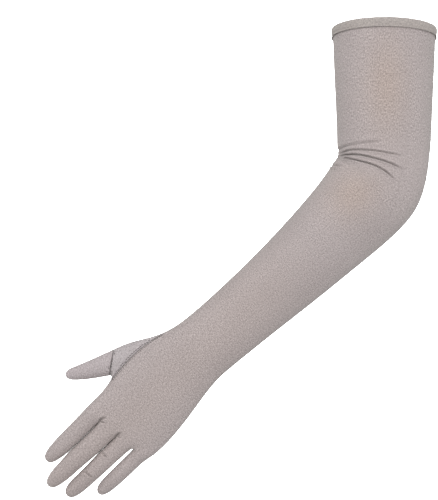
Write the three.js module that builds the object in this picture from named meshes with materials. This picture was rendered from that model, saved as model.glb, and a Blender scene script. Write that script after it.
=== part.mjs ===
// A long glove for a left arm: fine jersey knit, cut as a back panel and a palm panel that run
// from above the elbow to the fingertips, with a set-in thumb and a turned hem round the arm opening.
// It is modelled hollow, in the form that it takes on a bent arm, with the back of the hand to the front.
//
// Millimetres. The origin is the centre of the arm opening, at the top of the hem. +Z is up, out of the
// opening, +X is the outer (elbow tip) side and -Y is the side of the back of the hand.
//
// The skin of the glove is one coarse cage of four-sided faces. Each row of the tables below is a ring of
// the cage. The cage is smoothed once, creased at the elbow, split along its seams and given the cloth's wall.
import * as THREE from "three";

// Cloth, in millimetres
const CLOTH = 1.2;
const HEM_CLOTH = 1.0;
const HEM_HEIGHT = 8.5; // of the leg that shows
const HEM_INNER_SHARE = 0.8; // the hidden leg's length, as a share of the other's
const SEAM_GAP = 0.3;

// Sleeve
const CUFF_WIDTH = 93;
const CUFF_DEPTH = 90;
const CUFF_TILT = 3; // degrees, the front of the opening stands higher than its back
const CUFF_ROLL = 1.6; // degrees, the inner side of the opening stands higher than its outer side
const UPPER_LENGTH = 113; // from the opening to the bend
const ELBOW_WIDTH = 84;
const ELBOW_DEPTH = 80;
const ELBOW_BEND = 46.5; // degrees from straight
const INNER_BEND_RADIUS = 2.7; // the cloth's tight turn on the inner side of the elbow
const FOREARM_LENGTH = 192;
const WRIST_WIDTH = 60.4;
const WRIST_DEPTH = 42;

// Hand
const HAND_TURN = -1.5; // degrees, the hand against the forearm
const PALM_LENGTH = 129; // from the narrow of the wrist to the roots of the fingers
const PALM_WIDTH = 73;
const PALM_DEPTH = 27;
const FINGER_LENGTH = 84.5; // the middle finger, along its bend, from its root
const FINGER_DEPTH = 0.92; // of each finger's own width
const THUMB_LENGTH = 47; // past the set-in seam
const THUMB_WIDTH = 24; // at the set-in seam
const THUMB_SPREAD = 22; // degrees off the hand's own line
const THUMB_ARC = 15; // degrees that the thumb bends back by its tip
const THUMB_BACK = 6; // degrees that the thumb leans behind the palm
const THUMB_PLACE = { along: 0.615, across: -0.68, away: 0.14 }; // shares of the palm's length, width and depth
const THUMB_SEAM_TURN = 27; // degrees between the set-in seam's plane and the thumb's own square section
const THUMB_BASE_SWELL = 3.4; // how far the palm stands out round the set-in seam, on the inner side

// Creases at the inner side of the elbow
const FOLD_DEPTH = 1.5;
const FOLD_WIDTH = 2.4;

// Rings of the sleeve and the palm. at: share of the stretch's length, or of the bend at the elbow.
// size: share of the way from the stretch's first width to its second, and thick the same for its depth.
// inner, outer: the ring's reach to either side, as shares of that width. over, under: its reach to the
// back of the hand and to the palm side, as shares of that depth. square: 2 is an ellipse, more is boxier.
// seamIn, seamOut: degrees that the two side seams lie behind the silhouette, or in front of it below 0.
const UPPER_RINGS = [
  { at: 0, size: 0, thick: 0, inner: 0.5, outer: 0.5, over: 0.5, under: 0.5, square: 2, seamIn: 16, seamOut: 16 },
  { at: 0.28, size: 0.28, thick: 0.3, inner: 0.502, outer: 0.5, over: 0.5, under: 0.5, square: 2, seamIn: 16, seamOut: 16 },
  { at: 0.58, size: 0.64, thick: 0.6, inner: 0.5, outer: 0.501, over: 0.5, under: 0.5, square: 2, seamIn: 16, seamOut: 16 },
  { at: 0.8, size: 0.86, thick: 0.85, inner: 0.5, outer: 0.5, over: 0.5, under: 0.5, square: 2, seamIn: 16, seamOut: 16 },
  { at: 0.89, size: 0.93, thick: 0.95, inner: 0.503, outer: 0.499, over: 0.5, under: 0.5, square: 2, seamIn: 16, seamOut: 16 },
  { at: 0.95, size: 1, thick: 1, inner: 0.504, outer: 0.494, over: 0.5, under: 0.5, square: 2, seamIn: 16, seamOut: 16 },
];
const ELBOW_RINGS = [
  { at: 0, size: 0, thick: 0, inner: 0.504, outer: 0.487, over: 0.5, under: 0.5, square: 2, seamIn: 16, seamOut: 16 },
  { at: 0.2, size: 0, thick: 0, inner: 0.504, outer: 0.485, over: 0.5, under: 0.5, square: 2, seamIn: 16, seamOut: 16 },
  { at: 0.4, size: 0, thick: 0, inner: 0.504, outer: 0.493, over: 0.5, under: 0.5, square: 2, seamIn: 16, seamOut: 16 },
  { at: 0.6, size: 0, thick: 0, inner: 0.504, outer: 0.513, over: 0.5, under: 0.5, square: 2, seamIn: 16, seamOut: 16 },
  { at: 0.8, size: 0, thick: 0, inner: 0.504, outer: 0.524, over: 0.5, under: 0.5, square: 2, seamIn: 16, seamOut: 16 },
  { at: 1, size: 0, thick: 0, inner: 0.5, outer: 0.527, over: 0.5, under: 0.5, square: 2, seamIn: 16, seamOut: 16 },
];
const FOREARM_RINGS = [
  { at: 0.11, size: 0.1, thick: 0.08, inner: 0.455, outer: 0.545, over: 0.5, under: 0.5, square: 2, seamIn: 16, seamOut: 16 },
  { at: 0.28, size: 0.39, thick: 0.3, inner: 0.443, outer: 0.557, over: 0.5, under: 0.5, square: 2, seamIn: 16, seamOut: 16 },
  { at: 0.52, size: 0.67, thick: 0.62, inner: 0.435, outer: 0.565, over: 0.5, under: 0.5, square: 2.05, seamIn: 15, seamOut: 16 },
  { at: 0.78, size: 0.87, thick: 0.86, inner: 0.456, outer: 0.522, over: 0.5, under: 0.5, square: 2.1, seamIn: 11, seamOut: 13 },
];
const PALM_RINGS = [
  { at: 0, size: 0, thick: 0, inner: 0.493, outer: 0.496, over: 0.5, under: 0.5, square: 2.15, seamIn: 4, seamOut: 10 },
  { at: 0.14, size: 0.15, thick: 0.15, inner: 0.525, outer: 0.444, over: 0.5, under: 0.5, square: 2.2, seamIn: -6, seamOut: 6 },
  { at: 0.287, size: 0.5, thick: 0.32, inner: 0.59, outer: 0.43, over: 0.49, under: 0.51, square: 2.3, seamIn: -18, seamOut: 4 },
  { at: 0.497, size: 1, thick: 0.55, inner: 0.62, outer: 0.463, over: 0.48, under: 0.52, square: 2.4, seamIn: -24, seamOut: 2 },
  { at: 0.706, size: 1, thick: 0.8, inner: 0.54, outer: 0.503, over: 0.47, under: 0.53, square: 2.5, seamIn: -16, seamOut: 0 },
  { at: 0.853, size: 1, thick: 1, inner: 0.505, outer: 0.495, over: 0.46, under: 0.54, square: 2.6, seamIn: -5, seamOut: 0 },
];
// The ring at the fingers' roots. shoulder: how far in from the hand's edge its outermost columns stand, as a
// share of that finger's root, and dip: their height, and the webs', as a share of the height at the middles.
const ROOT_RING = { size: 1, thick: 1.25, inner: 0.535, outer: 0.483, over: 0.5, under: 0.5, shoulder: 0.14, dip: 0.72 };

// The thumb leaves the palm between these rings of the table above.
const THUMB_RING = 2;
const THUMB_RING_COUNT = 2;

// Fingers. root: share of the palm's width at the roots. web: how far down the hand the web beside the
// finger lies, as a share of the palm's length. width: share of the palm's width. tip: the width there
// as a share of the finger's own. lean: degrees in the hand's plane. curl: degrees towards the palm.
const FINGERS = [
  { name: "index", root: 0.25, web: 0.955, length: 0.8, width: 0.23, tip: 0.84, lean: 0.4, curl: 26 },
  { name: "middle", root: 0.269, web: 0.926, length: 1.01, width: 0.25, tip: 0.84, lean: -0.7, curl: 22 },
  { name: "ring", root: 0.252, web: 0.92, length: 0.97, width: 0.22, tip: 0.94, lean: -1.5, curl: 24 },
  { name: "little", root: 0.229, web: 0.915, length: 0.7, width: 0.205, tip: 0.84, lean: -0.6, curl: 26 },
];

// Rings of every finger. at: share of its length. width: share of the way from its width to its tip width.
const FINGER_RINGS = [
  { at: 0.08, width: 0.4 },
  { at: 0.42, width: 0 },
  { at: 0.74, width: 0.45 },
  { at: 0.93, width: 1.5 },
];

const TIP_SHARE = 1.03; // how far down its line a tip's middle point lies, so that the smoothed tip ends at 1

// Rings of the thumb. at: share of its length. width, depth: shares of its width at the seam.
const THUMB_RINGS = [
  { at: 0, width: 1, depth: 0.86 },
  { at: 0.27, width: 0.81, depth: 0.78 },
  { at: 0.52, width: 0.68, depth: 0.7 },
  { at: 0.76, width: 0.54, depth: 0.56 },
  { at: 0.93, width: 0.42, depth: 0.42 },
];

// Creases that fan out from the inner corner of the elbow. root, end: degrees below level at the corner
// and far from it. ease: how far out the turn from root to end is made. from, reach: where the crease
// starts and fades out. ease, from and reach are shares of the elbow's width. deep: share of the depth.
const FOLDS = [
  { root: -68, end: -13, ease: 0.2, from: 0, reach: 0.62, deep: 0.9 },
  { root: -44, end: 4, ease: 0.17, from: 0, reach: 0.92, deep: 0.8 },
  { root: -20, end: 15, ease: 0.26, from: 0, reach: 0.8, deep: 0.9 },
  { root: 2, end: 25, ease: 0.32, from: 0, reach: 0.78, deep: 1 },
  { root: 112, end: 40, ease: 0.13, from: 0.09, reach: 0.3, deep: 0.7 },
  { root: 118, end: 62, ease: 0.2, from: 0.15, reach: 0.32, deep: 0.6 },
];

const COLUMNS = 20; // cage points round the sleeve: ten spans to each panel
const HALF = COLUMNS / 2;
const FINGER_COLUMNS = 8;
const STEP_COUNT = 24; // a finger's or the thumb's line is walked in so many straight steps

const radians = THREE.MathUtils.degToRad;
const lerp = THREE.MathUtils.lerp;
const smoothstep = THREE.MathUtils.smoothstep;
const AWAY = new THREE.Vector3(0, 1, 0); // from the back of the hand to the palm

// A smoothed ring lies inside its cage points. This is its radius as a share of theirs.
const smoothedShare = (count) => 2 / 3 + Math.cos((2 * Math.PI) / count) / 3;

// Directions in the plane of the arm, for an arm turned by an angle from hanging straight down
const downArm = (degrees) => new THREE.Vector3(-Math.sin(radians(degrees)), 0, -Math.cos(radians(degrees)));
const acrossArm = (degrees) => new THREE.Vector3(Math.cos(radians(degrees)), 0, -Math.sin(radians(degrees)));

// The line down the middle of the glove, with its corners worked out from the sizes
const BEND_REACH = ELBOW_RINGS[0].inner * ELBOW_WIDTH + INNER_BEND_RADIUS;
const TOP = new THREE.Vector3(0, 0, -(HEM_CLOTH + SEAM_GAP));
const BEND_START = TOP.clone().addScaledVector(downArm(0), UPPER_LENGTH);
const BEND_CENTRE = BEND_START.clone().addScaledVector(acrossArm(0), -BEND_REACH);
const BEND_END = BEND_CENTRE.clone().addScaledVector(acrossArm(ELBOW_BEND), BEND_REACH);
const WRIST = BEND_END.clone().addScaledVector(downArm(ELBOW_BEND), FOREARM_LENGTH);
const HAND_ANGLE = ELBOW_BEND + HAND_TURN;
const inHand = (along, across, away) =>
  WRIST.clone()
    .addScaledVector(downArm(HAND_ANGLE), along)
    .addScaledVector(acrossArm(HAND_ANGLE), across)
    .addScaledVector(AWAY, away);

const signedPower = (value, power) => Math.sign(value) * Math.abs(value) ** power;

// The cage: points, and faces of four points with the panel that each belongs to
const cage = { points: [], faces: [] };
const addPoint = (point) => cage.points.push(point) - 1;
const addFace = (corners, panel) => cage.faces.push({ corners, panel });

// One ring of cage points round the sleeve or palm, from the inner side over the back to the outer side
function sleeveRing(centre, turn, width, depth, ring, tilt = 0) {
  const across = acrossArm(turn);
  const away = AWAY.clone().applyAxisAngle(across, -radians(tilt));
  const grow = 1 / smoothedShare(COLUMNS);
  const points = [];
  for (let column = 0; column < COLUMNS; column++) {
    const half = 180 + ring.seamIn + ring.seamOut;
    const angle =
      column <= HALF
        ? -ring.seamIn + (half * column) / HALF
        : 180 + ring.seamOut + ((360 - half) * (column - HALF)) / HALF;
    const side = signedPower(-Math.cos(radians(angle)), 2 / ring.square);
    const front = signedPower(Math.sin(radians(angle)), 2 / ring.square);
    points.push(
      centre
        .clone()
        .addScaledVector(across, side * grow * width * (side < 0 ? ring.inner : ring.outer))
        .addScaledVector(away, -front * grow * depth * (front > 0 ? ring.over : ring.under)),
    );
  }
  return points.map(addPoint);
}

// Four-sided faces between two rings of the same number of points
function joinRings(first, second, panelOf, skip = () => false) {
  first.forEach((corner, i) => {
    const next = (i + 1) % first.length;
    if (!skip(i)) addFace([corner, second[i], second[next], first[next]], panelOf(i));
  });
}

// Closes a ring of eight with four faces round a point, so that the side seams run over the tip
function closeTip(ring, tip, panelOf) {
  const middle = addPoint(tip);
  for (let i = 0; i < ring.length; i += 2)
    addFace([ring[i], middle, ring[(i + 2) % ring.length], ring[i + 1]], panelOf(i));
}

// A ring of eight round a finger or the thumb: across and away are its half sizes as vectors
const EIGHTHS = [...Array(FINGER_COLUMNS).keys()].map((i) => (2 * Math.PI * i) / FINGER_COLUMNS);
const roundRing = (centre, across, away) =>
  EIGHTHS.map((angle) =>
    centre
      .clone()
      .addScaledVector(across, -Math.cos(angle) / smoothedShare(FINGER_COLUMNS))
      .addScaledVector(away, -Math.sin(angle) / smoothedShare(FINGER_COLUMNS)),
  );

const sleevePanel = (column) => (column < HALF ? "back_panel" : "palm_panel");
const fingerPanel = (column) => (column < FINGER_COLUMNS / 2 ? "back_panel" : "palm_panel");

// Sleeve and palm
const rings = [];
for (const ring of UPPER_RINGS)
  rings.push(
    sleeveRing(
      TOP.clone().addScaledVector(downArm(0), ring.at * UPPER_LENGTH),
      CUFF_ROLL * (1 - ring.at) ** 2,
      lerp(CUFF_WIDTH, ELBOW_WIDTH, ring.size),
      lerp(CUFF_DEPTH, ELBOW_DEPTH, ring.thick),
      ring,
      CUFF_TILT * (1 - ring.at),
    ),
  );
for (const ring of ELBOW_RINGS) {
  const turn = ring.at * ELBOW_BEND;
  const centre = BEND_CENTRE.clone().addScaledVector(acrossArm(turn), BEND_REACH);
  rings.push(sleeveRing(centre, turn, ELBOW_WIDTH, ELBOW_DEPTH, ring));
}
for (const ring of FOREARM_RINGS)
  rings.push(
    sleeveRing(
      BEND_END.clone().addScaledVector(downArm(ELBOW_BEND), ring.at * FOREARM_LENGTH),
      ELBOW_BEND,
      lerp(ELBOW_WIDTH, WRIST_WIDTH, ring.size),
      lerp(ELBOW_DEPTH, WRIST_DEPTH, ring.thick),
      ring,
    ),
  );
const firstPalmRing = rings.length;
for (const ring of PALM_RINGS)
  rings.push(
    sleeveRing(
      inHand(ring.at * PALM_LENGTH, 0, 0),
      HAND_ANGLE,
      lerp(WRIST_WIDTH, PALM_WIDTH, ring.size),
      lerp(WRIST_DEPTH, PALM_DEPTH, ring.thick),
      ring,
    ),
  );

// The last ring, at the roots of the fingers, has a column at each web and each finger's middle
function rootRing() {
  const width = lerp(WRIST_WIDTH, PALM_WIDTH, ROOT_RING.size);
  const depth = lerp(WRIST_DEPTH, PALM_DEPTH, ROOT_RING.thick) / smoothedShare(COLUMNS);
  const reach = (ROOT_RING.inner + ROOT_RING.outer) * width;
  const places = [];
  let start = 0;
  FINGERS.forEach((finger, i) => {
    const lastWeb = i ? FINGERS[i - 1].web : finger.web;
    const shoulder = i ? 0 : ROOT_RING.shoulder;
    places.push({ share: start + shoulder * finger.root, high: ROOT_RING.dip, web: lastWeb });
    places.push({ share: start + 0.5 * finger.root, high: 1, web: (lastWeb + finger.web) / 2 });
    start += finger.root;
  });
  const last = FINGERS[FINGERS.length - 1];
  places.push({ share: start - ROOT_RING.shoulder * last.root, high: ROOT_RING.dip, web: last.web });
  const at = (place, side, high) =>
    addPoint(inHand(place.web * PALM_LENGTH, place.share * reach - ROOT_RING.inner * width, side * high * depth));
  const back = places.map((place) => at(place, -ROOT_RING.over, place.high));
  const palm = places.map((place) => at(place, ROOT_RING.under, place.high));
  const inner = at({ share: 0, web: FINGERS[0].web }, 0, 0);
  const outer = at({ share: start, web: last.web }, 0, 0);
  const webs = FINGERS.slice(1).map((_, i) => at(places[2 * i + 2], 0, 0));
  return { ring: [inner, ...back, outer, ...palm.reverse()], sides: [inner, ...webs, outer] };
}
const roots = rootRing();
rings.push(roots.ring);

const thumbRing = firstPalmRing + THUMB_RING;
rings.slice(0, -1).forEach((ring, row) => {
  const overThumb = row >= thumbRing && row < thumbRing + THUMB_RING_COUNT;
  joinRings(ring, rings[row + 1], sleevePanel, (column) => overThumb && column >= COLUMNS - 2);
});

// Fingers
FINGERS.forEach((finger, number) => {
  const { ring, sides } = roots;
  const back = [1, 2, 3].map((i) => ring[2 * number + i]);
  const palm = [1, 2, 3].map((i) => ring[COLUMNS - 2 * number - i]);
  const base = [sides[number], ...back, sides[number + 1], ...palm.reverse()];
  const baseCentre = new THREE.Vector3();
  base.forEach((i) => baseCentre.addScaledVector(cage.points[i], 1 / FINGER_COLUMNS));
  const length = finger.length * FINGER_LENGTH;
  const turn = HAND_ANGLE - finger.lean;
  const across = acrossArm(turn);
  const width = finger.width * PALM_WIDTH;
  const heading = (share) => downArm(turn).applyAxisAngle(across, radians(finger.curl * share));
  // The steps turn steadily towards the palm.
  const lineAt = (share) => {
    const place = baseCentre.clone();
    for (let step = 0; step < STEP_COUNT; step++)
      place.addScaledVector(heading((share * (step + 0.5)) / STEP_COUNT), (share * length) / STEP_COUNT);
    return place;
  };
  let last = base;
  for (const row of FINGER_RINGS) {
    const half = 0.5 * width * lerp(1, finger.tip, row.width);
    const away = AWAY.clone().applyAxisAngle(across, radians(finger.curl * row.at));
    const next = roundRing(
      lineAt(row.at),
      across.clone().multiplyScalar(half),
      away.multiplyScalar(half * FINGER_DEPTH),
    ).map(addPoint);
    joinRings(last, next, fingerPanel);
    last = next;
  }
  closeTip(last, lineAt(TIP_SHARE), fingerPanel);
});

// Thumb: its first ring is the set-in seam, and the palm panel reaches out to it
const thumbStart = inHand(
  THUMB_PLACE.along * PALM_LENGTH,
  THUMB_PLACE.across * PALM_WIDTH,
  THUMB_PLACE.away * PALM_DEPTH,
);
const thumbHeading = (share) =>
  downArm(HAND_ANGLE + THUMB_SPREAD + THUMB_ARC * share)
    .multiplyScalar(Math.cos(radians(THUMB_BACK)))
    .addScaledVector(AWAY, Math.sin(radians(THUMB_BACK)));
const thumbLine = (share) => {
  const place = thumbStart.clone();
  for (let step = 0; step < STEP_COUNT; step++)
    place.addScaledVector(thumbHeading((share * (step + 0.5)) / STEP_COUNT), (share * THUMB_LENGTH) / STEP_COUNT);
  return place;
};
// Round the hole that was left for it: rows down the hand, and columns back from the inner side seam
const place = (row, back) => rings[thumbRing + row][(COLUMNS - back) % COLUMNS];
const hole = [
  place(1, 2),
  place(0, 2),
  place(0, 1),
  place(0, 0),
  place(1, 0),
  place(2, 0),
  place(2, 1),
  place(2, 2),
];
const thumbSections = THUMB_RINGS.map((row, i) => {
  const turn = HAND_ANGLE + THUMB_SPREAD + THUMB_ARC * row.at + (i === 0 ? THUMB_SEAM_TURN : 0);
  const down = acrossArm(turn).multiplyScalar(0.5 * row.width * THUMB_WIDTH);
  const away = AWAY.clone().multiplyScalar(0.5 * row.depth * THUMB_WIDTH);
  // The ring starts at the palm side and goes by the upper edge to the back, as the hole's points do.
  return roundRing(thumbLine(row.at), away.negate(), down).map(addPoint);
});
const swelling = inHand(0, -THUMB_BASE_SWELL, 0).sub(WRIST);
const thumbBase = hole.map((corner, i) =>
  addPoint(
    cage.points[corner]
      .clone()
      .lerp(cage.points[thumbSections[0][i]], 0.5)
      .addScaledVector(swelling, (1 + Math.sin(EIGHTHS[i])) / 2),
  ),
);
joinRings(hole, thumbBase, () => "palm_panel");
joinRings(thumbBase, thumbSections[0], () => "palm_panel");
thumbSections.slice(0, -1).forEach((ring, i) => joinRings(ring, thumbSections[i + 1], () => "thumb"));
closeTip(thumbSections[thumbSections.length - 1], thumbLine(TIP_SHARE), () => "thumb");

// One step of Catmull-Clark smoothing. Open edges keep their own smooth curve.
function smoothOnce({ points, faces }) {
  const middles = faces.map(({ corners }) =>
    corners.reduce((sum, i) => sum.addScaledVector(points[i], 1 / corners.length), new THREE.Vector3()),
  );
  const edges = new Map();
  const edgeOf = (a, b) => edges.get(a < b ? `${a},${b}` : `${b},${a}`);
  faces.forEach(({ corners }, face) =>
    corners.forEach((a, i) => {
      const b = corners[(i + 1) % corners.length];
      const key = a < b ? `${a},${b}` : `${b},${a}`;
      if (!edges.has(key)) edges.set(key, { ends: [a, b], faces: [] });
      edges.get(key).faces.push(face);
    }),
  );
  const around = points.map(() => ({ faces: [], edges: [], open: [] }));
  faces.forEach(({ corners }, face) => corners.forEach((i) => around[i].faces.push(face)));
  for (const edge of edges.values()) {
    edge.middle = points[edge.ends[0]].clone().add(points[edge.ends[1]]).multiplyScalar(0.5);
    edge.isOpen = edge.faces.length === 1;
    for (const end of edge.ends) {
      around[end].edges.push(edge);
      if (edge.isOpen) around[end].open.push(edge);
    }
  }
  const smoothed = points.map((point, i) => {
    const { faces: near, edges: spokes, open } = around[i];
    if (open.length)
      return point
        .clone()
        .multiplyScalar(0.5)
        .addScaledVector(open[0].middle, 0.25)
        .addScaledVector(open[1].middle, 0.25);
    const n = near.length;
    const result = point.clone().multiplyScalar((n - 3) / n);
    near.forEach((face) => result.addScaledVector(middles[face], 1 / n / n));
    spokes.forEach((edge) => result.addScaledVector(edge.middle, 2 / n / n));
    return result;
  });
  const firstMiddle = smoothed.length;
  smoothed.push(...middles);
  for (const edge of edges.values()) {
    edge.index = smoothed.length;
    const point = edge.middle.clone();
    if (!edge.isOpen) {
      point.multiplyScalar(0.5);
      edge.faces.forEach((face) => point.addScaledVector(middles[face], 0.25));
    }
    smoothed.push(point);
  }
  const split = [];
  faces.forEach(({ corners, panel }, face) =>
    corners.forEach((corner, i) => {
      const next = corners[(i + 1) % corners.length];
      const before = corners[(i + corners.length - 1) % corners.length];
      split.push({
        corners: [corner, edgeOf(corner, next).index, firstMiddle + face, edgeOf(before, corner).index],
        panel,
      });
    }),
  );
  return { points: smoothed, faces: split };
}

// Where endless smoothing would leave each point
function settle({ points, faces }) {
  const around = points.map(() => ({ ends: new Map(), diagonals: [] }));
  faces.forEach(({ corners }) =>
    corners.forEach((a, i) => {
      const [b, c, d] = [1, 2, 3].map((step) => corners[(i + step) % 4]);
      around[a].diagonals.push(c);
      for (const end of [b, d]) around[a].ends.set(end, (around[a].ends.get(end) || 0) + 1);
    }),
  );
  return points.map((point, i) => {
    const { ends, diagonals } = around[i];
    const open = [...ends].filter(([, count]) => count === 1).map(([end]) => end);
    if (open.length)
      return point
        .clone()
        .multiplyScalar(4 / 6)
        .addScaledVector(points[open[0]], 1 / 6)
        .addScaledVector(points[open[1]], 1 / 6);
    const n = diagonals.length;
    const result = point.clone().multiplyScalar(n * n);
    [...ends.keys()].forEach((end) => result.addScaledVector(points[end], 4));
    diagonals.forEach((end) => result.add(points[end]));
    return result.multiplyScalar(1 / (n * (n + 5)));
  });
}

// Directions out of the cloth at every point
function outward(points, faces) {
  const normals = points.map(() => new THREE.Vector3());
  for (const { corners } of faces) {
    const [a, b, c, d] = corners.map((i) => points[i]);
    const normal = c.clone().sub(a).cross(d.clone().sub(b));
    corners.forEach((i) => normals[i].add(normal));
  }
  return normals.map((normal) => normal.normalize());
}

// How far the creases move the cloth in or out at a point: a narrow valley with a soft roll below it
function foldRelief(point) {
  const fromCorner = { x: point.x - BEND_CENTRE.x, down: BEND_CENTRE.z - point.z };
  const distance = Math.hypot(fromCorner.x, fromCorner.down);
  const angle = Math.atan2(fromCorner.down, fromCorner.x);
  const share = distance / ELBOW_WIDTH;
  let relief = 0;
  for (const fold of FOLDS) {
    const turn = Math.exp(-Math.max(share - fold.from, 0) / fold.ease);
    const line = radians(lerp(fold.end, fold.root, turn));
    const beside = distance * Math.sin(angle - line);
    if (Math.cos(angle - line) < 0) continue;
    const fade =
      smoothstep(share, fold.from + 0.02, fold.from + 0.1) * (1 - smoothstep(share, 0.45 * fold.reach, fold.reach));
    const valley = Math.exp(-((beside / FOLD_WIDTH) ** 2));
    const roll = Math.exp(-(((beside - 1.7 * FOLD_WIDTH) / (1.2 * FOLD_WIDTH)) ** 2));
    relief += fold.deep * fade * (0.55 * roll - valley);
  }
  return Math.max(relief, -1.3) * FOLD_DEPTH;
}

const skin = smoothOnce(cage);
skin.points = settle(skin);
const smoothNormals = outward(skin.points, skin.faces);
skin.points.forEach((point, i) => point.addScaledVector(smoothNormals[i], foldRelief(point)));
const normals = outward(skin.points, skin.faces);

// One panel of cloth as a closed solid. Its edges at a seam keep half the seam's gap from the seam line.
function panelGeometry(name) {
  const faces = skin.faces.filter((face) => face.panel === name);
  const ownEdges = new Set();
  faces.forEach(({ corners }) =>
    corners.forEach((a, i) => ownEdges.add(`${a},${corners[(i + 1) % corners.length]}`)),
  );
  const allEdges = new Set();
  skin.faces.forEach(({ corners }) =>
    corners.forEach((a, i) => allEdges.add(`${a},${corners[(i + 1) % corners.length]}`)),
  );
  const rim = [];
  const seamTangent = new Map();
  for (const key of ownEdges) {
    const [a, b] = key.split(",").map(Number);
    if (ownEdges.has(`${b},${a}`)) continue;
    rim.push([a, b]);
    if (!allEdges.has(`${b},${a}`)) continue; // the open end of the sleeve
    const tangent = skin.points[b].clone().sub(skin.points[a]).normalize();
    for (const end of [a, b]) {
      if (!seamTangent.has(end)) seamTangent.set(end, new THREE.Vector3());
      seamTangent.get(end).add(tangent);
    }
  }
  // From each seam point, the way into the panel is towards the middles of the panel's faces there.
  const intoPanel = new Map([...seamTangent.keys()].map((i) => [i, new THREE.Vector3()]));
  for (const { corners } of faces)
    for (const i of corners.filter((corner) => intoPanel.has(corner)))
      corners.forEach((other) => intoPanel.get(i).add(skin.points[other]).sub(skin.points[i]));
  const order = new Map();
  const positions = [];
  const used = [...new Set(faces.flatMap(({ corners }) => corners))];
  const place = used.map((i) => {
    const point = skin.points[i].clone();
    if (seamTangent.has(i)) {
      const along = seamTangent.get(i).normalize();
      const into = intoPanel.get(i);
      into.addScaledVector(along, -into.dot(along)).normalize();
      point.addScaledVector(into, 0.55 * SEAM_GAP);
    }
    return point;
  });
  used.forEach((i, n) => {
    order.set(i, n);
    positions.push(...place[n].toArray());
  });
  used.forEach((i, n) => positions.push(...place[n].clone().addScaledVector(normals[i], -CLOTH).toArray()));
  const outer = (i) => order.get(i);
  const inner = (i) => order.get(i) + used.length;
  const triangles = [];
  for (const { corners } of faces) {
    const [a, b, c, d] = corners;
    triangles.push(outer(a), outer(b), outer(c), outer(a), outer(c), outer(d));
    triangles.push(inner(a), inner(c), inner(b), inner(a), inner(d), inner(c));
  }
  // Both panels at a seam have the same diagonals across their edges, so that the gap stays even.
  for (const [a, b] of rim)
    if (a < b) triangles.push(outer(a), inner(a), inner(b), outer(a), inner(b), outer(b));
    else triangles.push(outer(a), inner(a), outer(b), outer(b), inner(a), inner(b));
  const geometry = new THREE.BufferGeometry();
  geometry.setAttribute("position", new THREE.Float32BufferAttribute(positions, 3));
  geometry.setIndex(triangles);
  geometry.computeVertexNormals();
  return geometry;
}

// The hem: a band of cloth folded over the sleeve's top edge, with the edge between its two legs.
// Its section is drawn with x outward from the sleeve's outer face and y up from the sleeve's top edge.
function hemGeometry() {
  const open = [];
  const following = new Map();
  const allEdges = new Set();
  skin.faces.forEach(({ corners }) => corners.forEach((a, i) => allEdges.add(`${a},${corners[(i + 1) % 4]}`)));
  for (const key of allEdges) {
    const [a, b] = key.split(",").map(Number);
    if (!allEdges.has(`${b},${a}`)) following.set(a, b);
  }
  let next = [...following.keys()][0];
  do {
    open.push(next);
    next = following.get(next);
  } while (next !== open[0]);

  const outside = SEAM_GAP + HEM_CLOTH;
  const inside = -(CLOTH + SEAM_GAP + HEM_CLOTH);
  const roof = SEAM_GAP;
  const legEnd = -(HEM_HEIGHT - SEAM_GAP - HEM_CLOTH);
  const innerLegEnd = HEM_INNER_SHARE * legEnd;
  const middle = (outside + inside) / 2;
  const halfSpan = (outside - inside) / 2;
  const ARCH_STEPS = 4;
  const arch = [...Array(ARCH_STEPS + 1).keys()].map((i) => {
    const angle = (Math.PI * i) / ARCH_STEPS;
    return [middle + halfSpan * Math.cos(angle), roof + HEM_CLOTH * Math.sin(angle)];
  });
  const section = [
    [outside, legEnd],
    ...arch,
    [inside, innerLegEnd],
    [inside + HEM_CLOTH, innerLegEnd],
    [inside + HEM_CLOTH, roof],
    [SEAM_GAP, roof],
    [SEAM_GAP, legEnd],
  ];
  // The band follows the sleeve's own slope below the edge, so that both legs keep their gap to it.
  const below = new Map();
  skin.faces.forEach(({ corners }) =>
    corners.forEach((a, i) => {
      const b = corners[(i + 1) % 4];
      const opens = (n) => following.has(n);
      if (opens(a) !== opens(b)) below.set(opens(a) ? a : b, opens(a) ? b : a);
    }),
  );
  const positions = [];
  open.forEach((i) => {
    const up = skin.points[i].clone().sub(skin.points[below.get(i)]).normalize();
    const out = normals[i];
    section.forEach(([x, y]) =>
      positions.push(...skin.points[i].clone().addScaledVector(out, x).addScaledVector(up, y).toArray()),
    );
  });
  const triangles = [];
  open.forEach((_, column) => {
    const nextColumn = (column + 1) % open.length;
    section.forEach((__, row) => {
      const nextRow = (row + 1) % section.length;
      const corner = (c, r) => c * section.length + r;
      const [a, b, c, d] = [
        corner(column, row),
        corner(column, nextRow),
        corner(nextColumn, nextRow),
        corner(nextColumn, row),
      ];
      triangles.push(a, c, d, a, b, c);
    });
  });
  const geometry = new THREE.BufferGeometry();
  geometry.setAttribute("position", new THREE.Float32BufferAttribute(positions, 3));
  geometry.setIndex(triangles);
  geometry.computeVertexNormals();
  return geometry;
}

const jersey = (colour) => new THREE.MeshStandardMaterial({ color: colour, roughness: 0.9, metalness: 0 });
const pieces = [
  { name: "back_panel", geometry: panelGeometry("back_panel"), material: jersey("#aca2a0") },
  { name: "palm_panel", geometry: panelGeometry("palm_panel"), material: jersey("#aca3a1") },
  { name: "thumb", geometry: panelGeometry("thumb"), material: jersey("#aba2a1") },
  { name: "hem", geometry: hemGeometry(), material: jersey("#a39b98") },
];

const glove = new THREE.Group();
for (const { name, geometry, material } of pieces) {
  const mesh = new THREE.Mesh(geometry, material);
  mesh.name = name;
  glove.add(mesh);
}
export default glove;
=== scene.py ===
"""A long grey jersey glove for a left arm, held in the form that it takes on a bent arm."""

import math

import bmesh
import bpy
import numpy as np
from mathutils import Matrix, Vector
from mathutils.kdtree import KDTree


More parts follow.
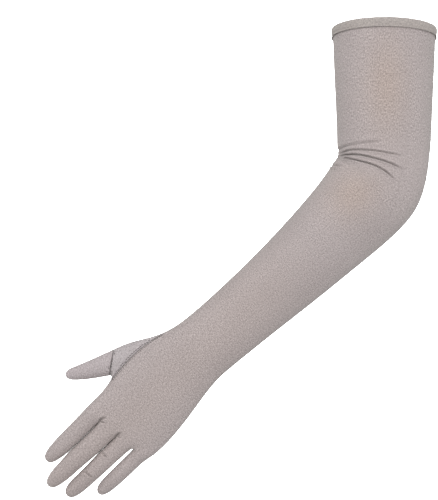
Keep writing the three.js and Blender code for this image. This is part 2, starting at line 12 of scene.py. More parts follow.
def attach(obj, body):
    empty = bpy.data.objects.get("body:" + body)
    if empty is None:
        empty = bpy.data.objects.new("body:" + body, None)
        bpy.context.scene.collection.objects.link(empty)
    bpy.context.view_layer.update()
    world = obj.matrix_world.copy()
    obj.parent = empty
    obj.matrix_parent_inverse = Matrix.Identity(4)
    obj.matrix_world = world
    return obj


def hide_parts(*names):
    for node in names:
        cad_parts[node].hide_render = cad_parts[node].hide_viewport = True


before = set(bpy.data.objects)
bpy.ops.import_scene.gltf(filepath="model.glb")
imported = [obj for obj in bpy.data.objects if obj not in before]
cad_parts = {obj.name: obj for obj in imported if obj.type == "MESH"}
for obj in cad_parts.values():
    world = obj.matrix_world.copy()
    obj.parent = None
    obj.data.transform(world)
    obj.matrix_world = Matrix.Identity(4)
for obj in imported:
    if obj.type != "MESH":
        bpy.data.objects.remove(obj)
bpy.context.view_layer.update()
bpy.ops.object.select_all(action="DESELECT")

# Back panel
# The sleeve's front, the back of the hand and the backs of the fingers: one piece of fine grey jersey knit,
# cut to shape and sewn to the palm panel down both sides. It is the construction model's panel made smooth,
# with the fine creases of the elbow and the fingers pressed into it.


def in_box(place, low, high):
    """Whether a place lies inside a box, given by its lowest and highest corners."""
    return all(low[i] < place[i] < high[i] for i in range(3))


WELD = 2e-6  # corners of the construction model that are closer than this are one
SHARP_FOLD = math.radians(62)  # an edge that turns more than this stays sharp
RIM_TURN = 0.9  # in radians: where an edge turns more than this, its corners are on a rim of the cloth


def smooth_copy(name, levels, calm=None):
    """A smooth copy of a construction node, as one welded mesh of mostly four-sided faces. Inside the box
    calm its coarse creases are evened out, because fine ones take their place."""
    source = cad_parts[name]
    piece = bpy.data.objects.new(name + "_cloth", source.data.copy())
    piece.data.transform(source.matrix_world)
    piece.data.materials.clear()
    bpy.context.collection.objects.link(piece)
    work = bmesh.new()
    work.from_mesh(piece.data)
    bmesh.ops.remove_doubles(work, verts=work.verts, dist=WELD)
    bmesh.ops.join_triangles(
        work, faces=work.faces, angle_face_threshold=math.radians(50), angle_shape_threshold=math.radians(60)
    )
    if calm:
        inner = [
            corner
            for corner in work.verts
            if in_box(corner.co, *calm)
            and all(edge.calc_face_angle(0) < RIM_TURN for edge in corner.link_edges)
        ]
        for _ in range(4):
            bmesh.ops.smooth_vert(
                work, verts=inner, factor=0.5, use_axis_x=True, use_axis_y=True, use_axis_z=True
            )
    creases = work.edges.layers.float.new("crease_edge")
    for edge in work.edges:
        if len(edge.link_faces) == 2 and edge.calc_face_angle() > SHARP_FOLD:
            edge[creases] = 1.0
    work.to_mesh(piece.data)
    work.free()
    bpy.context.view_layer.objects.active = piece
    piece.select_set(True)
    rounded = piece.modifiers.new("rounded", "SUBSURF")
    rounded.levels = levels
    rounded.render_levels = levels
    bpy.ops.object.modifier_apply(modifier="rounded")
    bpy.ops.object.shade_smooth_by_angle(angle=math.radians(55))
    piece.select_set(False)
    return piece


def refine(piece, low, high):
    """Halves the faces inside a box, where fine creases follow."""
    work = bmesh.new()
    work.from_mesh(piece.data)
    inside = [edge for edge in work.edges if in_box((edge.verts[0].co + edge.verts[1].co) / 2, low, high)]
    bmesh.ops.subdivide_edges(work, edges=inside, cuts=1, use_grid_fill=True)
    work.to_mesh(piece.data)
    work.free()


def vertices_of(piece):
    """The places of a piece's vertices, one row each."""
    points = np.empty(len(piece.data.vertices) * 3)
    piece.data.vertices.foreach_get("co", points)
    return points.reshape(-1, 3)


def normals_of(piece):
    """The directions that a piece's vertices face, one row each."""
    normals = np.empty(len(piece.data.vertices) * 3)
    piece.data.vertices.foreach_get("normal", normals)
    return normals.reshape(-1, 3)


def set_vertices(piece, points):
    """Moves a piece's vertices to new places."""
    piece.data.vertices.foreach_set("co", points.ravel())
    piece.data.update()


BEND_CENTRE = (-0.04504, -0.1143)  # x and z of the inner corner of the elbow
BEND_REACH = 0.04504  # from there to the middle of the sleeve
BEND = math.radians(46.5)


def arm_places(points):
    """How far along the glove each point lies, and how far across it, following the bend of the arm."""
    x = points[:, 0] - BEND_CENTRE[0]
    down = BEND_CENTRE[1] - points[:, 2]
    turned_along = -math.sin(BEND) * x + math.cos(BEND) * down
    turned_across = math.cos(BEND) * x + math.sin(BEND) * down
    stretches = [down < 0, turned_along > 0]  # the upper arm and the forearm; what is left is the elbow
    along = np.select(stretches, [down, BEND_REACH * BEND + turned_along], BEND_REACH * np.arctan2(down, x))
    across = np.select(stretches, [x, turned_across], np.hypot(x, down)) - BEND_REACH
    return along - BEND_CENTRE[1], across


def lay_out(piece, along, around):
    """The piece's own map of the cloth, in metres: across the wales, and along them."""
    layer = piece.data.uv_layers.new(name="cloth")
    corners = np.empty(len(piece.data.loops), dtype=np.int64)
    piece.data.loops.foreach_get("vertex_index", corners)
    layer.data.foreach_set("uv", np.stack([around[corners], along[corners]], axis=1).ravel())


def smoothstep(low, high, value):
    """0 below low, 1 above high, and an even rise between them."""
    share = np.clip((value - low) / (high - low), 0, 1)
    return share * share * (3 - 2 * share)


HAND_BEGINS, HAND_FULL = 0.24, 0.34  # along the glove: the cloth's map changes there from round to flat
ARM_RADIUS = 0.04
HAND_SHIFT = 0.06  # keeps the hand's map clear of zero


def lay_out_panel(piece):
    """The map of a panel: round the sleeve, and flat on the hand, where the fingers lie side by side."""
    points = vertices_of(piece)
    along, across = arm_places(points)
    turn = np.arctan2(np.abs(points[:, 1]), -across)
    on_hand = smoothstep(HAND_BEGINS, HAND_FULL, along)
    lay_out(piece, along, (1 - on_hand) * turn * ARM_RADIUS + on_hand * (across + HAND_SHIFT))


def store(piece, name, values):
    """One value for each vertex, which the jersey's material reads by its name."""
    piece.data.attributes.new(name, "FLOAT", "POINT").data.foreach_set("value", values)


# Two patches of the sleeve, above and below the elbow: the middle along the glove and half the length, then
# the middle across it and half the width.
WARM_PATCHES = [(0.056, 0.042, -0.004, 0.018), (0.166, 0.024, -0.010, 0.020)]
HAND_WARMTH, HAND_WARM_HALF_WIDTH = 0.35, 0.03
WARM_BEGINS, WARM_FULL = 0.2, 0.3  # along the glove, for the hand
ROWS_BEGIN, ROWS_FULL = 0.09, 0.15


def store_warmth_and_rows(piece):
    """Where the cloth is stretched thin, a warmer tone comes through it a little. Below the elbow the knit's
    rows stand out instead of its wales."""
    along, across = arm_places(vertices_of(piece))
    warmth = np.zeros(len(along))
    for middle, half_length, beside, half_width in WARM_PATCHES:
        warmth += np.exp(-(((along - middle) / half_length) ** 2) - ((across - beside) / half_width) ** 2)
    hand = smoothstep(WARM_BEGINS, WARM_FULL, along)
    warmth += HAND_WARMTH * hand * np.exp(-((across / HAND_WARM_HALF_WIDTH) ** 2))
    store(piece, "warmth", np.clip(warmth, 0, 1))
    store(piece, "rows", smoothstep(ROWS_BEGIN, ROWS_FULL, along))


# The creases that fan out from the inner corner of the elbow: depth and width, then the places that each one
# passes through in the plane of the arm, from the corner outwards (x and z). All in metres.
ELBOW_CREASES = [
    (0.0010, 0.0009, [(-0.0426, -0.1092), (-0.0346, -0.1065), (-0.0224, -0.1050), (-0.0036, -0.1046)]),
    (
        0.0015,
        0.00055,
        [(-0.0414, -0.1130), (-0.0325, -0.1108), (-0.0163, -0.1120), (0.0009, -0.1150), (0.0169, -0.1187)],
    ),
    (
        0.0021,
        0.00055,
        [(-0.0414, -0.1153), (-0.0286, -0.1151), (-0.0121, -0.1193), (0.0009, -0.1238), (0.0169, -0.1314)],
    ),
    (
        0.0020,
        0.00055,
        [(-0.0403, -0.1171), (-0.0265, -0.1208), (-0.0120, -0.1259), (-0.0013, -0.1328), (0.0075, -0.1416)],
    ),
    (0.0012, 0.0007, [(-0.0512, -0.1239), (-0.0471, -0.1230), (-0.0391, -0.1252)]),
    (0.0009, 0.0007, [(-0.0496, -0.1263), (-0.0431, -0.1281)]),
]
ELBOW_MIDDLE, ELBOW_REACH = (-0.018, -0.124), (0.055, 0.045)  # where these creases are, in x and z
DEEPEST_FOLD, HIGHEST_FOLD = -0.0024, 0.0014
# The soft rolls beside a crease: how far away their middles are and how wide they are, in widths of the
# crease, and how high the upper and the lower one rise, in depths of it.
ROLL_AWAY, ROLL_WIDTH, UPPER_ROLL, LOWER_ROLL = 2.7, 1.6, 0.3, 0.42


def smooth_line(places, count=24):
    """A smooth curve through a crease's places, as many short straight steps."""
    places = np.array(places)
    if len(places) == 2:
        share = np.linspace(0, 1, count)[:, None]
        return places[0] * (1 - share) + places[1] * share
    ends = np.vstack([2 * places[0] - places[1], places, 2 * places[-1] - places[-2]])
    line = []
    for a, b, c, d in zip(ends, ends[1:], ends[2:], ends[3:]):
        turn = 2 * a - 5 * b + 4 * c - d
        twist = 3 * b - a - 3 * c + d
        for t in np.linspace(0, 1, count // (len(places) - 1), endpoint=False):
            line.append(0.5 * (2 * b + (c - a) * t + turn * t**2 + twist * t**3))
    return np.array(line + [places[-1]])


def relief_along(points, places, depth, width, opening, closing):
    """A narrow valley along a line, with a soft roll on either side. It is at its full depth from the share
    opening of the line's length to the share closing."""
    line = smooth_line(places)
    place = points[:, [0, 2]]
    steps = np.hypot(*np.diff(line, axis=0).T)
    walked = np.concatenate([[0], np.cumsum(steps)]) / steps.sum()
    nearest = np.full(len(points), np.inf)
    beside = np.zeros(len(points))
    share = np.zeros(len(points))
    for i, (start, end) in enumerate(zip(line, line[1:])):
        way = end - start
        raw = ((place - start) @ way) / (way @ way)
        low = -1.0 if i == 0 else 0.0
        high = 2.0 if i == len(line) - 2 else 1.0
        t = np.clip(raw, low, high)
        off = place - start - t[:, None] * way
        distance = np.hypot(off[:, 0], off[:, 1])
        closer = distance < nearest
        nearest[closer] = distance[closer]
        beside[closer] = (np.sign(way[0] * off[:, 1] - way[1] * off[:, 0]) * distance)[closer]
        share[closer] = (walked[i] + t * (walked[i + 1] - walked[i]))[closer]
    fade = smoothstep(-0.02, opening, share) * (1 - smoothstep(closing, 1.02, share))
    valley = np.exp(-((nearest / width) ** 2))
    above = np.exp(-(((beside - ROLL_AWAY * width) / (ROLL_WIDTH * width)) ** 2))
    below = np.exp(-(((beside + ROLL_AWAY * width) / (ROLL_WIDTH * width)) ** 2))
    return depth * fade * (UPPER_ROLL * above + LOWER_ROLL * below - valley)


def elbow_relief(points):
    """How far each point moves out of the cloth, or into it, for the elbow's creases."""
    near = np.all(np.abs(points[:, [0, 2]] - ELBOW_MIDDLE) < ELBOW_REACH, axis=1)
    relief = np.zeros(len(points))
    for depth, width, places in ELBOW_CREASES:
        relief[near] += relief_along(points[near], places, depth, width, opening=0.08, closing=0.68)
    return np.clip(relief, DEEPEST_FOLD, HIGHEST_FOLD)


# Two short lines across the ring finger, and the small creases at two webs, in the same columns.
HAND_CREASES = [
    (0.0018, 0.0007, [(-0.2697, -0.3978), (-0.2617, -0.4049)]),
    (0.0014, 0.0006, [(-0.2530, -0.3806), (-0.2478, -0.3868)]),
    (0.0016, 0.0008, [(-0.2575, -0.3519), (-0.2543, -0.3500), (-0.2485, -0.3478)]),
    (0.0011, 0.0007, [(-0.2562, -0.3527), (-0.2496, -0.3537)]),
    (0.0016, 0.0008, [(-0.2435, -0.3655), (-0.2403, -0.3634), (-0.2350, -0.3620)]),
]


NEAR_CREASE = 0.02  # short creases reach no further than this


def crease_relief(points, creases):
    """The same as for the elbow, for short creases anywhere."""
    relief = np.zeros(len(points))
    for depth, width, places in creases:
        middle = np.mean(places, axis=0)
        near = np.hypot(points[:, 0] - middle[0], points[:, 2] - middle[1]) < NEAR_CREASE
        relief[near] += relief_along(points[near], places, depth, width, opening=0.2, closing=0.65)
    return relief


# Where two fingers touch, a dark line runs between them from the web to the place where they part: partly the
# shade of the narrow gap, and partly painted shade in the cloth's colour. Each row has the web and a place
# towards the tips, then how far from the web the fingers touch, from where they are apart, and how far each
# side moves to close the gap that the construction model keeps between them.
TOUCHING_FINGERS = [
    ((-0.2552, -0.3523), (-0.2906, -0.3875), 0.040, 0.054, 0.0011),
    ((-0.2396, -0.3648), (-0.2689, -0.3931), 0.022, 0.050, 0.0013),
]
FINGER_WIDTH = 0.017
MOST_OF_THE_WAY = 0.93  # no point goes further than this share of its way to the line
GAP_PAINTED_SHADE_WIDTH = 0.0018
FULL_PAINTED_SHADE_DEPTH = 0.0016  # the depth of a crease that takes the full painted shade


def between_fingers(points, web, tips):
    """How far each point lies along the line between two fingers and beside it, and the line's direction."""
    length = math.hypot(tips[0] - web[0], tips[1] - web[1])
    dx, dz = (tips[0] - web[0]) / length, (tips[1] - web[1]) / length
    x, z = points[:, 0] - web[0], points[:, 2] - web[1]
    return x * dx + z * dz, z * dx - x * dz, dx, dz


def close_gaps(points):
    """Broadens touching fingers towards the line between them, and leaves their far sides in place."""
    moved = points.copy()
    for web, tips, touching, apart, reach in TOUCHING_FINGERS:
        along, beside, dx, dz = between_fingers(points, web, tips)
        fade = smoothstep(-0.004, 0.001, along) * (1 - smoothstep(touching, apart, along))
        away = np.abs(beside)
        pull = np.minimum(reach, MOST_OF_THE_WAY * away) * (1 - smoothstep(0.004, FINGER_WIDTH, away))
        moved[:, 0] += dz * np.sign(beside) * pull * fade
        moved[:, 2] -= dx * np.sign(beside) * pull * fade
    return moved


def store_painted_crease_shade(piece, relief):
    """How deep in a crease or a seam's groove each point lies, or how near the line between two touching
    fingers:
    the shade there, painted into the cloth's colour.
    """
    points = vertices_of(piece)
    shade = np.clip(-relief / FULL_PAINTED_SHADE_DEPTH, 0, 1) ** 1.6
    for web, tips, touching, apart, _ in TOUCHING_FINGERS:
        along, beside, _, _ = between_fingers(points, web, tips)
        fade = smoothstep(-0.005, -0.001, along) * (1 - smoothstep(touching, apart, along))
        shade = np.maximum(shade, 0.9 * fade * np.exp(-((beside / GAP_PAINTED_SHADE_WIDTH) ** 2)))
    store(piece, "crease", shade)


SEAM_GAP = 0.0005  # two panels' rims that are closer than this meet in a seam


def seam_line(first, second, low, high, heading, spacing=0.002):
    """Where two construction nodes meet on their outer faces, inside a box, in order of a heading."""
    piece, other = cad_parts[first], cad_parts[second]
    tree = KDTree(len(other.data.vertices))
    for i, vertex in enumerate(other.data.vertices):
        tree.insert(other.matrix_world @ vertex.co, i)
    tree.balance()
    rim = [piece.matrix_world @ vertex.co for vertex in piece.data.vertices]
    rim = [place for place in rim if tree.find(place)[2] < SEAM_GAP and in_box(place, low, high)]
    rim.sort(key=heading)
    line = []
    for place in rim:
        if line and heading(place) - heading(line[-1]) < spacing:
            if place.y < line[-1].y:
                line[-1] = place
        else:
            line.append(place)
    return smooth_line([tuple(place) for place in line], 12 * (len(line) - 1))


def near_seam(points, line, width):
    """1 on a seam's line, and falling away over the width on either side."""
    tree = KDTree(len(line))
    for i, place in enumerate(line):
        tree.insert(place, i)
    tree.balance()
    return np.exp(-((np.array([tree.find(place)[2] for place in points]) / width) ** 2))


def down_the_hand(place):
    """The heading of the seam on the back of the hand, which runs down and to the left."""
    return place.x + place.z


HAND_SEAM = seam_line(
    "back_panel", "palm_panel", (-0.249, -0.03, -0.316), (-0.196, 0.004, -0.266), down_the_hand
)
SEAM_DEPTH, SEAM_WIDTH = 0.0003, 0.0006  # the groove that the sewing draws in along the hand's seam
ELBOW_FRONT = ((-0.03, -0.05, -0.15), (0.03, 0.05, -0.095))
back = smooth_copy("back_panel", 2, ELBOW_FRONT)
refine(back, (-0.062, -0.05, -0.155), (0.026, 0.03, -0.096))  # the elbow
refine(back, (-0.275, -0.03, -0.405), (-0.230, -0.002, -0.342))  # the webs
for _ in range(2):
    refine(back, (-0.274, -0.02, -0.409), (-0.256, 0.008, -0.393))  # the ring finger's line towards its tip
refine(back, (-0.259, -0.02, -0.390), (-0.242, 0.004, -0.377))  # and the one towards its web
points = vertices_of(back)
lay_out_panel(back)
store_warmth_and_rows(back)
outer_face = smoothstep(0.15, 0.5, -normals_of(back)[:, 1])
relief = elbow_relief(points) + outer_face * crease_relief(points, HAND_CREASES)
relief -= SEAM_DEPTH * near_seam(points, HAND_SEAM, SEAM_WIDTH)
store_painted_crease_shade(back, relief)
set_vertices(back, close_gaps(points) + normals_of(back) * relief[:, None])


def linear(colour):
    """An sRGB hex colour as linear red, green, blue and alpha."""
    shares = [int(colour[i : i + 2], 16) / 255 for i in (1, 3, 5)]
    return [c / 12.92 if c <= 0.04045 else ((c + 0.055) / 1.055) ** 2.4 for c in shares] + [1.0]


def add_node(tree, kind, place, inputs=(), **settings):
    """One shader node with its settings, its constants and its links from other nodes' outputs."""
    node = tree.nodes.new(kind)
    node.location = place
    for name, value in settings.items():
        setattr(node, name, value)
    for name, value in dict(inputs).items():
        if isinstance(value, bpy.types.NodeSocket):
            tree.links.new(value, node.inputs[name])
        else:
            node.inputs[name].default_value = value
    return node


# The knit's real loops are 0.6 mm apart, which is under a pixel in the render, so they are drawn coarser.
DRAWN_LOOP = 0.00095
# The dark grey of the shade that is painted into the cloth's colour in creases, seam grooves and between
# touching fingers, and its largest share there.
PAINTED_CREASE_SHADE = "#4f4947"
PAINTED_SHADE_STRENGTH = 0.62
WARMTH_STRENGTH = 0.45
UNEVENNESS = 0.24  # of the dye, in patches of about 4 cm


def jersey(name, dark, light, warm):
    """Fine jersey, plain knitted from a dull stretch yarn. It is matt, with a fine crepe of lighter loops on
    darker gaps, and the fuzz of its yarn makes it paler where it turns away from the eye. Shade is painted
    into its colour in the creases, the seam grooves and between touching fingers."""
    material = bpy.data.materials.new(name)
    material.use_nodes = True
    tree = material.node_tree
    tree.nodes.clear()
    cloth = add_node(tree, "ShaderNodeUVMap", (-1400, 0), uv_map="cloth").outputs["UV"]
    object_place = add_node(tree, "ShaderNodeTexCoord", (-1400, -400)).outputs["Object"]
    # On the upper arm the wales stand out along the cloth, and from the elbow down its rows do, across it.
    long_loops = add_node(
        tree, "ShaderNodeMapping", (-1200, 0), {"Vector": cloth, "Scale": (1.0, 0.6, 1.0)}
    )
    wide_loops = add_node(
        tree, "ShaderNodeMapping", (-1200, -350), {"Vector": cloth, "Scale": (0.65, 1.0, 1.0)}
    )
    wales = add_node(
        tree,
        "ShaderNodeTexNoise",
        (-1000, 0),
        {"Vector": long_loops.outputs["Vector"], "Scale": 1.0 / DRAWN_LOOP, "Detail": 1.5, "Roughness": 0.6},
    )
    rows = add_node(
        tree,
        "ShaderNodeTexNoise",
        (-1000, -350),
        {"Vector": wide_loops.outputs["Vector"], "Scale": 1.0 / DRAWN_LOOP, "Detail": 1.5, "Roughness": 0.6},
    )
    below_elbow = add_node(tree, "ShaderNodeAttribute", (-1000, 250), attribute_name="rows")
    patches = add_node(
        tree, "ShaderNodeTexNoise", (-1000, -600), {"Vector": object_place, "Scale": 26.0, "Detail": 3.0}
    )
    knit = add_node(
        tree,
        "ShaderNodeMix",
        (-750, -100),
        {0: below_elbow.outputs["Fac"], 2: wales.outputs["Fac"], 3: rows.outputs["Fac"]},
        data_type="FLOAT",
    )
    spread = add_node(
        tree,
        "ShaderNodeMapRange",
        (-550, -100),
        {"Value": knit.outputs[0], "From Min": 0.33, "From Max": 0.67, "To Min": 0.0, "To Max": 1.0},
    )
    uneven = add_node(
        tree,
        "ShaderNodeMath",
        (-550, -350),
        {0: patches.outputs["Fac"], 1: UNEVENNESS, 2: -UNEVENNESS / 2},
        operation="MULTIPLY_ADD",
    )
    shade = add_node(
        tree,
        "ShaderNodeMath",
        (-380, -200),
        {0: spread.outputs["Result"], 1: uneven.outputs[0]},
        operation="ADD",
    )
    ground = add_node(
        tree,
        "ShaderNodeMix",
        (-200, 0),
        {0: shade.outputs[0], 6: linear(dark), 7: linear(light)},
        data_type="RGBA",
    )
    warmth = add_node(tree, "ShaderNodeAttribute", (-380, 260), attribute_name="warmth")
    share = add_node(
        tree,
        "ShaderNodeMath",
        (-200, 260),
        {0: warmth.outputs["Fac"], 1: WARMTH_STRENGTH},
        operation="MULTIPLY",
    )
    tinted = add_node(
        tree,
        "ShaderNodeMix",
        (0, 60),
        {0: share.outputs[0], 6: ground.outputs[2], 7: linear(warm)},
        data_type="RGBA",
        blend_type="MULTIPLY",
    )
    # Painted shade: where the crease values are high, the cloth's colour is mixed towards a dark grey.
    crease = add_node(tree, "ShaderNodeAttribute", (-200, 500), attribute_name="crease")
    painted_shade_share = add_node(
        tree,
        "ShaderNodeMath",
        (0, 400),
        {0: crease.outputs["Fac"], 1: PAINTED_SHADE_STRENGTH},
        operation="MULTIPLY",
    )
    with_painted_shade = add_node(
        tree,
        "ShaderNodeMix",
        (120, 120),
        {0: painted_shade_share.outputs[0], 6: tinted.outputs[2], 7: linear(PAINTED_CREASE_SHADE)},
        data_type="RGBA",
    )
    bump = add_node(
        tree,
        "ShaderNodeBump",
        (0, -300),
        {"Height": spread.outputs["Result"], "Strength": 0.8, "Distance": 0.00035},
    )
    cloth_shader = add_node(
        tree,
        "ShaderNodeBsdfPrincipled",
        (220, 0),
        {
            "Base Color": with_painted_shade.outputs[2],
            "Roughness": 0.92,
            "Normal": bump.outputs["Normal"],
            "Sheen Weight": 0.34,
            "Sheen Roughness": 0.45,
            "Sheen Tint": linear("#dfe7dd"),
            "Specular IOR Level": 0.18,
        },
    )
    add_node(tree, "ShaderNodeOutputMaterial", (520, 0), {"Surface": cloth_shader.outputs["BSDF"]})
    return material


back.data.materials.append(jersey("grey jersey, back", "#998f8e", "#c5bbba", "#fff0dd"))
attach(back, "root")
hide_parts("back_panel")

# Palm panel
# The sleeve's rear, the palm with the base of the thumb, and the fingers' palm sides: the same jersey.
# It is sewn to the back panel in a seam down either side, and turns forward over the thumb's base.
THUMB_CENTRE = Vector((-0.2435, 0.0037, -0.3000))
THUMB_RADIUS = 0.012
THUMB_SEAM_DEPTH, THUMB_SEAM_WIDTH = 0.0005, 0.0008


def round_thumb(place):
    """How far round the thumb's base a place lies, as a length along the seam."""
    return THUMB_RADIUS * math.atan2(place.y - THUMB_CENTRE.y, place.z - THUMB_CENTRE.z)


THUMB_SEAM = seam_line("palm_panel", "thumb", (-0.26, -0.03, -0.32), (-0.22, 0.03, -0.28), round_thumb, 0.001)
palm = smooth_copy("palm_panel", 2, ELBOW_FRONT)
refine(palm, (-0.062, -0.05, -0.155), (0.026, 0.05, -0.096))  # the elbow
points = vertices_of(palm)
lay_out_panel(palm)
store_warmth_and_rows(palm)
relief = elbow_relief(points) - SEAM_DEPTH * near_seam(points, HAND_SEAM, SEAM_WIDTH)
relief -= THUMB_SEAM_DEPTH * near_seam(points, THUMB_SEAM, THUMB_SEAM_WIDTH)
store_painted_crease_shade(palm, relief)
set_vertices(palm, close_gaps(points) + normals_of(palm) * relief[:, None])
palm.data.materials.append(jersey("grey jersey, palm", "#9f9798", "#c9c2c3", "#fff2e4"))
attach(palm, "root")
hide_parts("palm_panel")

# Thumb
# A tapered tube of the same jersey, closed at its tip and sewn into the ring of the palm panel.
# The sewing draws the cloth in all round, and the crotch of the thumb gathers it into three short creases.
THUMB_START = (-0.2455, -0.3010)  # x and z of the middle of its base
THUMB_ANGLE = math.radians(72.0)  # from straight down, towards the left
THUMB_SHIFT = 0.03  # keeps the thumb's map clear of zero
THUMB_CREASES = [
    (0.0015, 0.0006, [(-0.2459, -0.3097), (-0.2505, -0.3078)]),
    (0.0013, 0.0006, [(-0.2456, -0.3075), (-0.2484, -0.3034)]),
    (0.0012, 0.0006, [(-0.2464, -0.3108), (-0.2525, -0.3102)]),
]
thumb = smooth_copy("thumb", 3)
points = vertices_of(thumb)
x = points[:, 0] - THUMB_START[0]
z = points[:, 2] - THUMB_START[1]
along = -math.sin(THUMB_ANGLE) * x - math.cos(THUMB_ANGLE) * z
across = math.cos(THUMB_ANGLE) * x - math.sin(THUMB_ANGLE) * z
lay_out(thumb, along, across + THUMB_SHIFT)
store_warmth_and_rows(thumb)
relief = smoothstep(0.1, 0.5, -normals_of(thumb)[:, 1]) * crease_relief(points, THUMB_CREASES)
relief -= THUMB_SEAM_DEPTH * near_seam(points, THUMB_SEAM, THUMB_SEAM_WIDTH)
store_painted_crease_shade(thumb, relief)
set_vertices(thumb, points + normals_of(thumb) * relief[:, None])
thumb.data.materials.append(jersey("grey jersey, thumb", "#a09697", "#c8bfc0", "#fff0e0"))
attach(thumb, "root")
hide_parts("thumb")

# Seam stitches
# Fine grey thread, in two rows beside the seam on the back of the hand and in one row round the thumb's seam.
# Each stitch is sewn through the cloth, so its ends dip in and its middle stands out a little. The thread is
# drawn 0.4 to 0.6 mm thick, because the real 0.2 mm wouldn't show.
STITCH_SPACING = 0.0024
STITCH_ARCH = 1.5  # how far a stitch's middle rises over its ends, in thicknesses of its thread
STITCH_DIP = 0.7  # how far its ends dip in
THREAD_SIDES, THREAD_RINGS = 6, 5


def stitch_row(name, places, directions, surface, length, thickness):
    """One joined mesh of short stitches that lie on a surface at the places given."""
    corners, faces = [], []
    sides, rings = THREAD_SIDES, THREAD_RINGS
    for place, direction in zip(places, directions):
        foot, normal = surface.closest_point_on_mesh(Vector(place))[1:3]
        along = (Vector(direction) - normal * Vector(direction).dot(normal)).normalized()
        aside = along.cross(normal)
        first = len(corners)
        for ring in range(rings):
            share = ring / (rings - 1)
            lift = thickness * (STITCH_ARCH * math.sin(math.pi * share) - STITCH_DIP)
            centre = foot + along * (length * (share - 0.5)) + normal * lift
            for side in range(sides):
                angle = 2 * math.pi * side / sides
                round_it = aside * math.cos(angle) + normal * math.sin(angle)
                corners.append(centre + round_it * thickness / 2)
        for ring in range(rings - 1):
            for side in range(sides):
                a, b = first + ring * sides + side, first + ring * sides + (side + 1) % sides
                faces.append((a, b, b + sides, a + sides))
        faces.append(tuple(first + side for side in reversed(range(sides))))
        faces.append(tuple(first + (rings - 1) * sides + side for side in range(sides)))
    mesh = bpy.data.meshes.new(name)
    mesh.from_pydata([tuple(corner) for corner in corners], [], faces)
    work = bmesh.new()
    work.from_mesh(mesh)
    bmesh.ops.recalc_face_normals(work, faces=work.faces)
    work.to_mesh(mesh)
    work.free()
    mesh.shade_smooth()
    row = bpy.data.objects.new(name, mesh)
    bpy.context.collection.objects.link(row)
    return row


def thread(name, colour):
    """Spun polyester sewing thread: smoother than the cloth, and darker, with the shade of the groove that it
    lies in painted into its colour.
    """
    material = bpy.data.materials.new(name)
    material.use_nodes = True
    shader = material.node_tree.nodes["Principled BSDF"]
    shader.inputs["Base Color"].default_value = linear(colour)
    shader.inputs["Roughness"].default_value = 0.7
    shader.inputs["Sheen Weight"].default_value = 0.1
    return material


IN_FRONT = Vector((0, -0.0005, 0))  # so that the nearest cloth to the seam is its outer face
LIFT = 0.0003


def beside_line(line, surface, offset, spacing):
    """Evenly spaced places beside a seam's line, on one side of it, with the seam's directions there."""
    steps = np.linalg.norm(np.diff(line, axis=0), axis=1)
    walked = np.concatenate([[0], np.cumsum(steps)])
    wanted = np.arange(0.5 * spacing, walked[-1], spacing)
    places = np.stack([np.interp(wanted, walked, line[:, i]) for i in range(3)], axis=1)
    directions = np.gradient(places, axis=0)
    moved = []
    for place, direction in zip(places, directions):
        normal = surface.closest_point_on_mesh(Vector(place) + IN_FRONT)[2]
        out = Vector(direction).cross(normal).normalized()
        moved.append(Vector(place) + out * offset + normal * LIFT)
    return moved, directions


grey_thread = thread("grey sewing thread", "#625b59")
# The row's name, its seam, the panel that it is sewn into, how far beside the seam, a stitch's length and
# thickness, and the slot.
for name, line, panel, offset, length, thickness, slot in (
    ("hand_seam_stitches_palm_side", HAND_SEAM, palm, -0.0018, 0.0020, 0.0006, "jersey_palm"),
    ("hand_seam_stitches_back_side", HAND_SEAM, back, 0.0016, 0.0020, 0.0004, "jersey_back"),
    ("thumb_seam_stitches", THUMB_SEAM, palm, 0.0015, 0.0019, 0.0004, "jersey_thumb"),
):
    row = stitch_row(name, *beside_line(line, panel, offset, STITCH_SPACING), panel, length, thickness)
    row.data.materials.append(grey_thread)
    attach(row, "root")

# Hem
# The sleeve's top edge, turned in double and sewn down: two layers of jersey, so it is denser and darker.
# Its stitching draws the band's lower edge in against the sleeve.
CUFF_RADIUS = 0.045
CUFF_TILT, CUFF_ROLL = 0.0524, 0.028  # the slopes of the sleeve's edge, down to the rear and to the right
HEM_DRAWN_IN = 0.0011
DRAWN_BELOW, LOOSE_ABOVE = -0.0082, -0.0035  # heights: drawn in fully, and not at all
hem = smooth_copy("hem", 2)
points = vertices_of(hem)
turn = np.arctan2(points[:, 1], points[:, 0])
lay_out(hem, -points[:, 2], np.abs(turn) * CUFF_RADIUS)
outward = np.stack([np.cos(turn), np.sin(turn)], axis=1)
facing = np.einsum("ij,ij->i", normals_of(hem)[:, :2], outward)
height = points[:, 2] + CUFF_TILT * points[:, 1] + CUFF_ROLL * points[:, 0]
drawn = smoothstep(0.3, 0.7, facing) * (1 - smoothstep(DRAWN_BELOW, LOOSE_ABOVE, height))
points[:, :2] -= outward * (HEM_DRAWN_IN * drawn)[:, None]
set_vertices(hem, points)
hem.data.materials.append(jersey("grey jersey, double", "#9b9390", "#bfb7b2", "#ffffff"))
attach(hem, "root")
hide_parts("hem")

# Hem stitches
# One row of the same kind of thread round the hem, close above its lower edge, through both layers and the
# sleeve. Each stitch is found from the edge under it, and then laid on the band.
HEM_STITCH_COUNT = 150
ABOVE_EDGE = 0.0014
OUTSIDE = 0.05  # a radius that lies outside the band all round
NEAR_STITCH = 0.07  # in radians: the stretch of the edge that a stitch is placed by
angles = np.arange(HEM_STITCH_COUNT) * 2 * math.pi / HEM_STITCH_COUNT
places = []
for angle in angles:
    beside = np.abs((turn - angle + math.pi) % (2 * math.pi) - math.pi) < NEAR_STITCH
    edge = points[beside & (facing > 0.6), 2].min()
    places.append((OUTSIDE * math.cos(angle), OUTSIDE * math.sin(angle), edge + ABOVE_EDGE))
directions = [(-math.sin(angle), math.cos(angle), 0.0) for angle in angles]
hem_row = stitch_row("hem_stitches", places, directions, hem, 0.0014, 0.0003)
hem_row.data.materials.append(thread("grey hem thread", "#6f6764"))
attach(hem_row, "root")

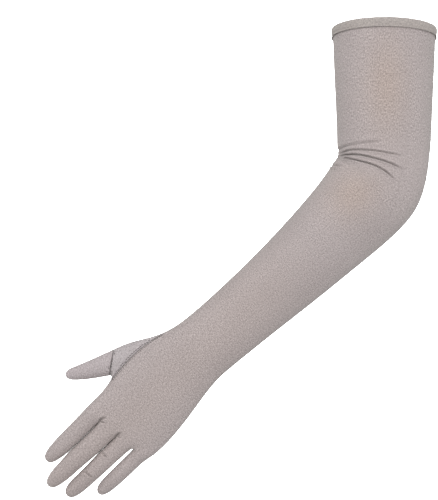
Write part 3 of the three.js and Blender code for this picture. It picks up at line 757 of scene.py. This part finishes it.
# Studio
# A white paper sheet that curves up behind the glove, large soft lights in front of it and on its left, and
# two lights behind the glove that whiten the sheet, as in the photograph.
# The sheet's y and z, from its front edge to its top:
SHEET_PROFILE = [(-2.4, -0.72), (1.6, -0.72), (2.1, -0.66), (2.4, -0.4), (2.5, 0.0), (2.5, 3.0)]
SHEET_HALF_WIDTH = 4.0
sheet = bpy.data.meshes.new("studio_sheet")
sheet_points = [(x, y, z) for y, z in SHEET_PROFILE for x in (-SHEET_HALF_WIDTH, SHEET_HALF_WIDTH)]
sheet_faces = [(2 * i, 2 * i + 1, 2 * i + 3, 2 * i + 2) for i in range(len(SHEET_PROFILE) - 1)]
sheet.from_pydata(sheet_points, [], sheet_faces)
sheet.shade_smooth()
backdrop = bpy.data.objects.new("studio_sheet", sheet)
bpy.context.collection.objects.link(backdrop)
white = bpy.data.materials.new("white paper")
white.use_nodes = True
white.node_tree.nodes["Principled BSDF"].inputs["Base Color"].default_value = linear("#f9f9f9")
white.node_tree.nodes["Principled BSDF"].inputs["Roughness"].default_value = 0.95
sheet.materials.append(white)
# The cloth gets no light from the sheet, only from the lights and the white world around it.
backdrop.visible_diffuse = False
backdrop.visible_glossy = False


def soft_light(name, place, target, width, power):
    """A square soft light, turned to face a target."""
    light = bpy.data.lights.new(name, "AREA")
    light.size = width
    light.energy = power
    lamp = bpy.data.objects.new(name, light)
    lamp.location = place
    lamp.rotation_euler = (Vector(target) - Vector(place)).to_track_quat("-Z", "Y").to_euler()
    bpy.context.collection.objects.link(lamp)


MIDDLE = (-0.13, 0.0, -0.2)
soft_light("key", (-0.6, -1.7, 0.8), MIDDLE, 1.6, 17)
soft_light("fill", (1.1, -1.5, -0.5), MIDDLE, 1.6, 17)
soft_light("left_side", (-1.6, -0.5, 0.4), MIDDLE, 1.2, 5.5)
soft_light("back_left", (-1.1, 0.9, 0.5), (-0.8, 2.4, 0.1), 1.2, 75)
soft_light("back_right", (0.9, 0.9, 0.5), (0.6, 2.4, 0.1), 1.2, 75)

world = bpy.data.worlds.new("studio")
bpy.context.scene.world = world
world.use_nodes = True
world.node_tree.nodes["Background"].inputs["Color"].default_value = linear("#ffffff")
world.node_tree.nodes["Background"].inputs["Strength"].default_value = 0.55
bpy.context.scene.view_settings.view_transform = "Standard"

# The camera looks straight at the glove from 1.05 m, which gives the photograph's perspective and frame.
camera = bpy.data.cameras.new("camera")
camera.lens = 84.0
camera.sensor_width = 36.0
eye = bpy.data.objects.new("camera", camera)
eye.location = (-0.1485, -1.05, -0.1989)
eye.rotation_euler = (math.radians(90), 0, 0)
bpy.context.collection.objects.link(eye)
bpy.context.scene.camera = eye
